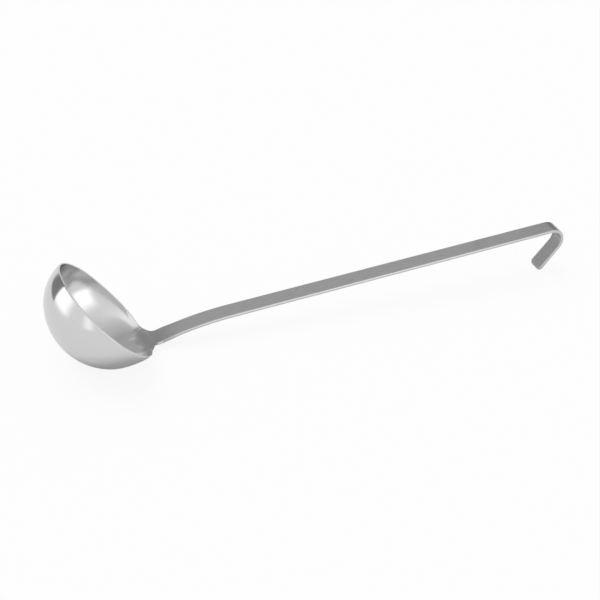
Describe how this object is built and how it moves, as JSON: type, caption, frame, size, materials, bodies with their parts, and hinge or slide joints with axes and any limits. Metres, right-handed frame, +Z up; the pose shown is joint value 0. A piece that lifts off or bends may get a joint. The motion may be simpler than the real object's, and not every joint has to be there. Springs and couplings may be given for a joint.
{
  "type": "soup ladle",
  "caption": "Steel soup ladle: a round drawn bowl whose lip flares into a neck, welded to a long flat handle that ends in a hanging hook",
  "frame": {"origin": "on the table, under the middle of the ladle's bounding box, as the ladle lies at rest on the underside of its bowl and the end of its hook", "axes": "+X runs along the handle from the bowl to the hook, +Y is across the handle, to the left when looking from the bowl to the hook, +Z is up from the table"},
  "size_m": [0.4002, 0.08, 0.0668],
  "materials": {
    "bowl_steel": "polished stainless steel, with a duller ground patch where the lip rolls into the neck",
    "weld_steel": "weld bead ground flush and brushed",
    "handle_steel": "satin stainless steel, brushed along the handle"
  },
  "bodies": {
    "root": {"bowl": "bowl_steel", "weld_seam": "weld_steel", "handle": "handle_steel"}
  },
  "joints": []
}
